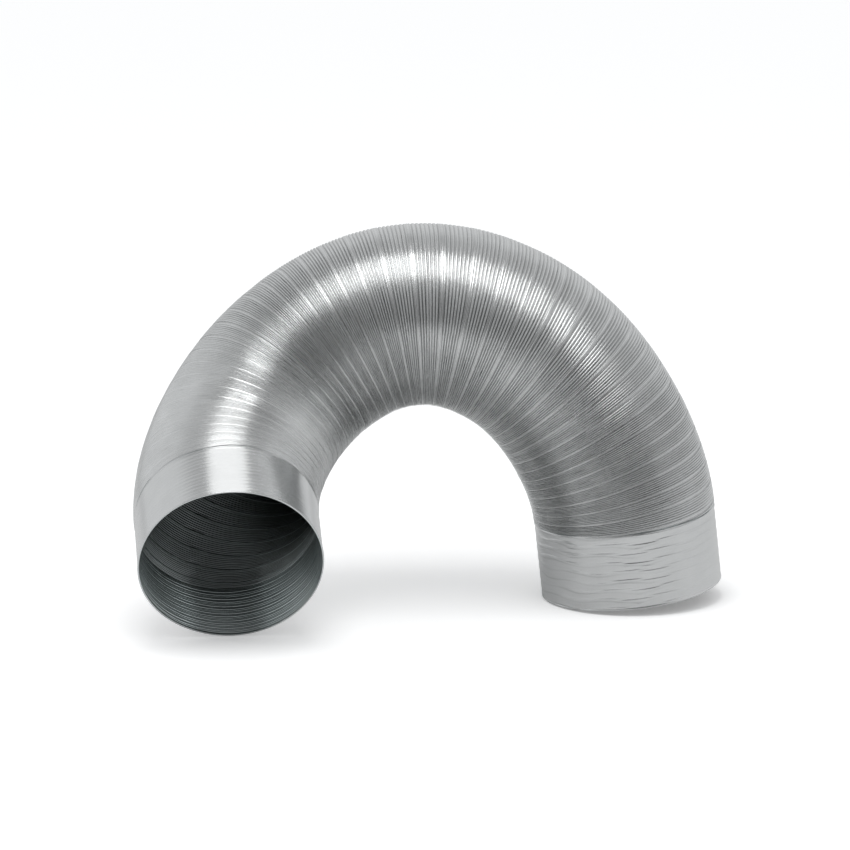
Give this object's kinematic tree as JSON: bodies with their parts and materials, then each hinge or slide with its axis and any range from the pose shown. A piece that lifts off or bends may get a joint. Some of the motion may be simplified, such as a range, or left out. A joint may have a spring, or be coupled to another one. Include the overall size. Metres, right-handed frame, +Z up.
{
  "type": "flexible air duct",
  "caption": "Semi-rigid aluminium flexible air duct, a pleated strip wound with a lock seam between two plain cuffs, bent into an arch with one end turned forward.",
  "frame": {"origin": "centre of the right-hand opening, at the end face of its cuff", "axes": "+Z up, +X to the right seen from the front, +Y away from the front; the duct arches up and to -X and its other end turns forward to -Y; it stands on its two rims, whose lowest points are at z = -0.0074"},
  "size_m": [0.4074, 0.2404, 0.264],
  "materials": {
    "foil_pleated": "satin, fine pleats",
    "foil_plain": "satin, lightly brushed"
  },
  "bodies": {
    "cuff_right": {"cuff_right": "foil_plain"},
    "turn_01": {"turn_01": "foil_pleated"},
    "turn_02": {"turn_02": "foil_pleated"},
    "turn_03": {"turn_03": "foil_pleated"},
    "turn_04": {"turn_04": "foil_pleated"},
    "turn_05": {"turn_05": "foil_pleated"},
    "turn_06": {"turn_06": "foil_pleated"},
    "turn_07": {"turn_07": "foil_pleated"},
    "turn_08": {"turn_08": "foil_pleated"},
    "turn_09": {"turn_09": "foil_pleated"},
    "turn_10": {"turn_10": "foil_pleated"},
    "turn_11": {"turn_11": "foil_pleated"},
    "turn_12": {"turn_12": "foil_pleated"},
    "turn_13": {"turn_13": "foil_pleated"},
    "turn_14": {"turn_14": "foil_pleated"},
    "turn_15": {"turn_15": "foil_pleated"},
    "turn_16": {"turn_16": "foil_pleated"},
    "turn_17": {"turn_17": "foil_pleated"},
    "turn_18": {"turn_18": "foil_pleated"},
    "turn_19": {"turn_19": "foil_pleated"},
    "turn_20": {"turn_20": "foil_pleated"},
    "turn_21": {"turn_21": "foil_pleated"},
    "turn_22": {"turn_22": "foil_pleated"},
    "turn_23": {"turn_23": "foil_pleated"},
    "turn_24": {"turn_24": "foil_pleated"},
    "turn_25": {"turn_25": "foil_pleated"},
    "turn_26": {"turn_26": "foil_pleated"},
    "turn_27": {"turn_27": "foil_pleated"},
    "turn_28": {"turn_28": "foil_pleated"},
    "turn_29": {"turn_29": "foil_pleated"},
    "turn_30": {"turn_30": "foil_pleated"},
    "turn_31": {"turn_31": "foil_pleated"},
    "turn_32": {"turn_32": "foil_pleated"},
    "turn_33": {"turn_33": "foil_pleated"},
    "turn_34": {"turn_34": "foil_pleated"},
    "turn_35": {"turn_35": "foil_pleated"},
    "turn_36": {"turn_36": "foil_pleated"},
    "turn_37": {"turn_37": "foil_pleated"},
    "turn_38": {"turn_38": "foil_pleated"},
    "turn_39": {"turn_39": "foil_pleated"},
    "cuff_left": {"cuff_left": "foil_plain"}
  },
  "joints": [
    {"name": "bend_01", "type": "hinge", "parent": "cuff_right", "child": "turn_01", "pos_m": [0.05564, -0.01723, 0.05953], "axis": [0.2283, 0.9712, 0.0677], "range_deg": [0, 2.4]},
    {"name": "bend_02", "type": "hinge", "parent": "turn_01", "child": "turn_02", "pos_m": [0.05375, -0.01679, 0.07372], "axis": [0.2137, 0.9747, 0.0657], "range_deg": [0, 6.21]},
    {"name": "stretch_03", "type": "slide", "parent": "turn_02", "child": "turn_03", "axis": [-0.2523, -0.0097, 0.9676], "range_m": [0, 0.014]},
    {"name": "bend_04", "type": "hinge", "parent": "turn_03", "child": "turn_04", "pos_m": [0.04735, -0.01557, 0.09974], "axis": [0.1909, 0.9798, 0.0598], "range_deg": [0, 5.21]},
    {"name": "bend_05", "type": "hinge", "parent": "turn_04", "child": "turn_05", "pos_m": [0.0434, -0.01358, 0.11187], "axis": [0.1629, 0.9854, 0.0497], "range_deg": [0, 3.01]},
    {"name": "bend_06", "type": "hinge", "parent": "turn_05", "child": "turn_06", "pos_m": [0.03894, -0.01099, 0.1235], "axis": [0.1284, 0.9911, 0.0353], "range_deg": [0, 4.16]},
    {"name": "stretch_07", "type": "slide", "parent": "turn_06", "child": "turn_07", "axis": [-0.4496, 0.0268, 0.8929], "range_m": [0, 0.01401]},
    {"name": "bend_08", "type": "hinge", "parent": "turn_07", "child": "turn_08", "pos_m": [0.02805, -0.00733, 0.14583], "axis": [0.0862, 0.9962, 0.0138], "range_deg": [0, 4.1]},
    {"name": "bend_09", "type": "hinge", "parent": "turn_08", "child": "turn_09", "pos_m": [0.02127, -0.00313, 0.15755], "axis": [0.0354, 0.9992, -0.0166], "range_deg": [0, 3.06]},
    {"name": "bend_10", "type": "hinge", "parent": "turn_09", "child": "turn_10", "pos_m": [0.01302, 0.00129, 0.16976], "axis": [-0.0159, 0.9986, -0.0511], "range_deg": [0, 5.84]},
    {"name": "stretch_11", "type": "slide", "parent": "turn_10", "child": "turn_11", "axis": [-0.6354, 0.0294, 0.7716], "range_m": [0, 0.01401]},
    {"name": "bend_12", "type": "hinge", "parent": "turn_11", "child": "turn_12", "pos_m": [-0.00931, 0.00265, 0.19655], "axis": [-0.0201, 0.9983, -0.0545], "range_deg": [0, 10.38]},
    {"name": "swing_13", "type": "hinge", "parent": "turn_12", "child": "turn_13", "pos_m": [-0.06424, -0.06378, 0.16521], "axis": [0.6445, 0.0475, 0.7631], "range_deg": [0, 8]},
    {"name": "bend_14", "type": "hinge", "parent": "turn_13", "child": "turn_14", "pos_m": [-0.04198, 0.00206, 0.22392], "axis": [-0.0056, 0.9993, -0.0372], "range_deg": [0, 12.42]},
    {"name": "stretch_15", "type": "slide", "parent": "turn_14", "child": "turn_15", "axis": [-0.8872, 0.0119, 0.4612], "range_m": [0, 0.01401]},
    {"name": "bend_16", "type": "hinge", "parent": "turn_15", "child": "turn_16", "pos_m": [-0.08129, 0.00147, 0.24441], "axis": [0.0027, 0.9998, -0.0214], "range_deg": [0, 13.59]},
    {"name": "swing_17", "type": "hinge", "parent": "turn_16", "child": "turn_17", "pos_m": [-0.11881, -0.06307, 0.19148], "axis": [0.2421, 0.025, 0.9699], "range_deg": [0, 8.01]},
    {"name": "bend_18", "type": "hinge", "parent": "turn_17", "child": "turn_18", "pos_m": [-0.12669, 0.0035, 0.25555], "axis": [-0.0037, 0.9989, -0.047], "range_deg": [0, 15.22]},
    {"name": "stretch_19", "type": "slide", "parent": "turn_18", "child": "turn_19", "axis": [-0.9997, -0.0019, -0.0238], "range_m": [0, 0.01401]},
    {"name": "bend_20", "type": "hinge", "parent": "turn_19", "child": "turn_20", "pos_m": [-0.17343, 0.01417, 0.253], "axis": [0.0003, 0.9755, -0.2201], "range_deg": [0, 14.76]},
    {"name": "swing_21", "type": "hinge", "parent": "turn_20", "child": "turn_21", "pos_m": [-0.17928, -0.05994, 0.21025], "axis": [-0.279, 0.3338, 0.9004], "range_deg": [0, 8.01]},
    {"name": "bend_22", "type": "hinge", "parent": "turn_21", "child": "turn_22", "pos_m": [-0.21337, 0.02401, 0.2376], "axis": [0.0572, 0.9111, -0.4083], "range_deg": [0, 11.89]},
    {"name": "stretch_23", "type": "slide", "parent": "turn_22", "child": "turn_23", "axis": [-0.8831, -0.1428, -0.4469], "range_m": [0, 0.01401]},
    {"name": "bend_24", "type": "hinge", "parent": "turn_23", "child": "turn_24", "pos_m": [-0.24304, 0.03209, 0.21417], "axis": [0.1669, 0.7912, -0.5883], "range_deg": [0, 9.65]},
    {"name": "swing_25", "type": "hinge", "parent": "turn_24", "child": "turn_25", "pos_m": [-0.23508, -0.05263, 0.20951], "axis": [-0.5527, 0.6555, 0.5146], "range_deg": [0, 8.01]},
    {"name": "bend_26", "type": "hinge", "parent": "turn_25", "child": "turn_26", "pos_m": [-0.26662, 0.0331, 0.18824], "axis": [0.2744, 0.6689, -0.6908], "range_deg": [0, 9.37]},
    {"name": "stretch_27", "type": "slide", "parent": "turn_26", "child": "turn_27", "axis": [-0.701, -0.3521, -0.6202], "range_m": [0, 0.01401]},
    {"name": "bend_28", "type": "hinge", "parent": "turn_27", "child": "turn_28", "pos_m": [-0.28702, 0.02581, 0.16424], "axis": [0.3366, 0.6026, -0.7236], "range_deg": [0, 8.95]},
    {"name": "swing_29", "type": "hinge", "parent": "turn_28", "child": "turn_29", "pos_m": [-0.2731, -0.05908, 0.1877], "axis": [-0.7187, 0.672, 0.1783], "range_deg": [0, 8.01]},
    {"name": "bend_30", "type": "hinge", "parent": "turn_29", "child": "turn_30", "pos_m": [-0.30318, 0.01478, 0.14086], "axis": [0.3912, 0.5511, -0.737], "range_deg": [0, 8.37]},
    {"name": "stretch_31", "type": "slide", "parent": "turn_30", "child": "turn_31", "axis": [-0.4869, -0.555, -0.6744], "range_m": [0, 0.01401]},
    {"name": "bend_32", "type": "hinge", "parent": "turn_31", "child": "turn_32", "pos_m": [-0.31523, 0.00125, 0.11685], "axis": [0.4579, 0.4947, -0.7387], "range_deg": [0, 6.28]},
    {"name": "bend_33", "type": "hinge", "parent": "turn_32", "child": "turn_33", "pos_m": [-0.31957, -0.00644, 0.10419], "axis": [0.5016, 0.4601, -0.7326], "range_deg": [0, 4.38]},
    {"name": "bend_34", "type": "hinge", "parent": "turn_33", "child": "turn_34", "pos_m": [-0.32347, -0.01554, 0.09229], "axis": [0.5335, 0.436, -0.7247], "range_deg": [0, 6.88]},
    {"name": "stretch_35", "type": "slide", "parent": "turn_34", "child": "turn_35", "axis": [-0.2485, -0.738, -0.6274], "range_m": [0, 0.01401]},
    {"name": "bend_36", "type": "hinge", "parent": "turn_35", "child": "turn_36", "pos_m": [-0.33013, -0.03775, 0.07129], "axis": [0.5584, 0.4198, -0.7155], "range_deg": [0, 7.14]},
    {"name": "bend_37", "type": "hinge", "parent": "turn_36", "child": "turn_37", "pos_m": [-0.33161, -0.04978, 0.06093], "axis": [0.5781, 0.4092, -0.706], "range_deg": [0, 4.86]},
    {"name": "bend_38", "type": "hinge", "parent": "turn_37", "child": "turn_38", "pos_m": [-0.33219, -0.06256, 0.05139], "axis": [0.593, 0.4023, -0.6976], "range_deg": [0, 7.21]},
    {"name": "stretch_39", "type": "slide", "parent": "turn_38", "child": "turn_39", "axis": [0.0221, -0.874, -0.4854], "range_m": [0, 0.01401]},
    {"name": "bend_40", "type": "hinge", "parent": "turn_39", "child": "cuff_left", "pos_m": [-0.33103, -0.0898, 0.03552], "axis": [0.6031, 0.3988, -0.6908], "range_deg": [0, 4.7]}
  ],
  "couplings": [
    {"joint": "bend_01", "follows": "bend_02", "ratio": 0.3863},
    {"joint": "bend_04", "follows": "bend_02", "ratio": 0.83916},
    {"joint": "bend_05", "follows": "bend_02", "ratio": 0.48525},
    {"joint": "bend_06", "follows": "bend_02", "ratio": 0.66994},
    {"joint": "bend_08", "follows": "bend_02", "ratio": 0.66011},
    {"joint": "bend_09", "follows": "bend_02", "ratio": 0.49283},
    {"joint": "bend_10", "follows": "bend_02", "ratio": 0.94053},
    {"joint": "bend_12", "follows": "bend_02", "ratio": 1.6724},
    {"joint": "bend_14", "follows": "bend_02", "ratio": 2.0003},
    {"joint": "bend_16", "follows": "bend_02", "ratio": 2.1892},
    {"joint": "bend_18", "follows": "bend_02", "ratio": 2.4517},
    {"joint": "bend_20", "follows": "bend_02", "ratio": 2.3766},
    {"joint": "bend_22", "follows": "bend_02", "ratio": 1.9147},
    {"joint": "bend_24", "follows": "bend_02", "ratio": 1.5542},
    {"joint": "bend_26", "follows": "bend_02", "ratio": 1.5096},
    {"joint": "bend_28", "follows": "bend_02", "ratio": 1.4421},
    {"joint": "bend_30", "follows": "bend_02", "ratio": 1.3479},
    {"joint": "bend_32", "follows": "bend_02", "ratio": 1.011},
    {"joint": "bend_33", "follows": "bend_02", "ratio": 0.70475},
    {"joint": "bend_34", "follows": "bend_02", "ratio": 1.1075},
    {"joint": "bend_36", "follows": "bend_02", "ratio": 1.1496},
    {"joint": "bend_37", "follows": "bend_02", "ratio": 0.7834},
    {"joint": "bend_38", "follows": "bend_02", "ratio": 1.1615},
    {"joint": "bend_40", "follows": "bend_02", "ratio": 0.75745},
    {"joint": "swing_17", "follows": "swing_13", "ratio": 1},
    {"joint": "swing_21", "follows": "swing_13", "ratio": 1},
    {"joint": "swing_25", "follows": "swing_13", "ratio": 1},
    {"joint": "swing_29", "follows": "swing_13", "ratio": 1},
    {"joint": "stretch_07", "follows": "stretch_03", "ratio": 1},
    {"joint": "stretch_11", "follows": "stretch_03", "ratio": 1},
    {"joint": "stretch_15", "follows": "stretch_03", "ratio": 1},
    {"joint": "stretch_19", "follows": "stretch_03", "ratio": 1},
    {"joint": "stretch_23", "follows": "stretch_03", "ratio": 1},
    {"joint": "stretch_27", "follows": "stretch_03", "ratio": 1},
    {"joint": "stretch_31", "follows": "stretch_03", "ratio": 1},
    {"joint": "stretch_35", "follows": "stretch_03", "ratio": 1},
    {"joint": "stretch_39", "follows": "stretch_03", "ratio": 1}
  ]
}
